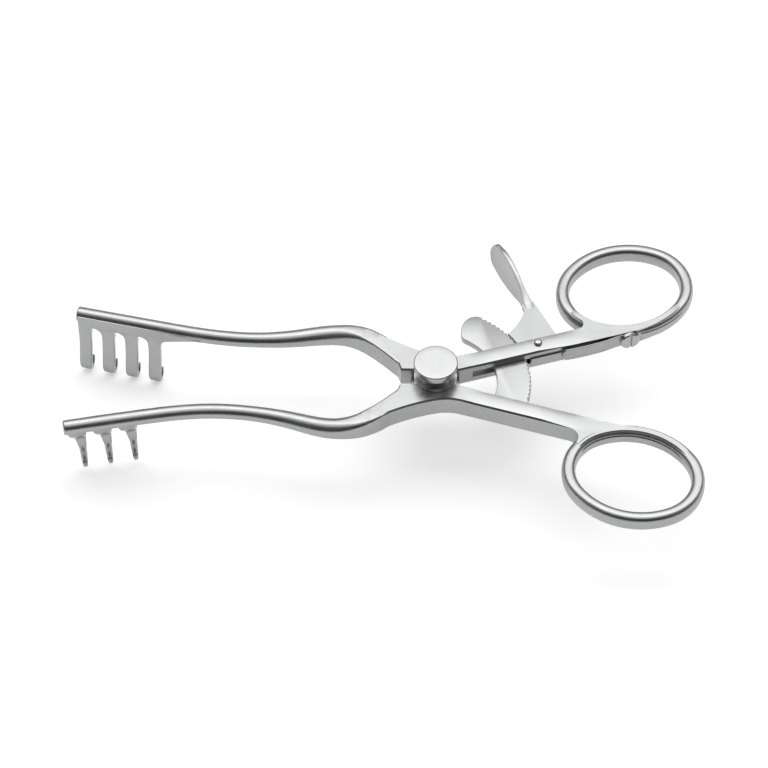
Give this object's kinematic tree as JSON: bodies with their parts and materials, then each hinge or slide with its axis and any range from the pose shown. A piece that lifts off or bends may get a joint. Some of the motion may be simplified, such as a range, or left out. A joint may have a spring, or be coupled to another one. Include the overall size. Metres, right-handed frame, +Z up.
{
  "type": "self retaining retractor",
  "caption": "Self retaining surgical retractor: ring handled arms on a knob headed pivot, hooked prongs at the jaws, and a ratchet bar held by a sprung thumb release.",
  "frame": {"origin": "on the pivot axis, in the flat underside of the arms at the lap joint", "axes": "+X from the pivot to the finger rings, +Y to the side of the slotted arm, +Z up through the knob; the prongs hang down"},
  "size_m": [0.1653, 0.094, 0.0276],
  "materials": {
    "arm_steel": "satin stainless steel",
    "knob_steel": "fine turned and brushed stainless steel",
    "plate_steel": "satin stainless plate",
    "spring_steel": "brushed spring steel"
  },
  "bodies": {
    "slotted_half": {"slotted_arm": "arm_steel", "lever_pin": "arm_steel", "leaf_spring": "spring_steel", "spring_screw": "arm_steel"},
    "plain_half": {"plain_arm": "arm_steel", "ratchet_bar": "plate_steel", "ratchet_rivets": "arm_steel", "pivot_screw": "knob_steel"},
    "lever": {"release_lever": "plate_steel"}
  },
  "joints": [
    {"name": "arm_pivot", "type": "hinge", "parent": "slotted_half", "child": "plain_half", "pos_m": [0, 0, 0.0031], "axis": [0, 0, 1], "range_deg": [-19, 25]},
    {"name": "lever_release", "type": "hinge", "parent": "slotted_half", "child": "lever", "pos_m": [0.02696, 0.01106, 0.0031], "axis": [0, 0, -1], "range_deg": [0, 12], "stiffness_Nm_per_rad": 0.3, "springref_deg": -8.59, "deforming": ["leaf_spring"]}
  ]
}
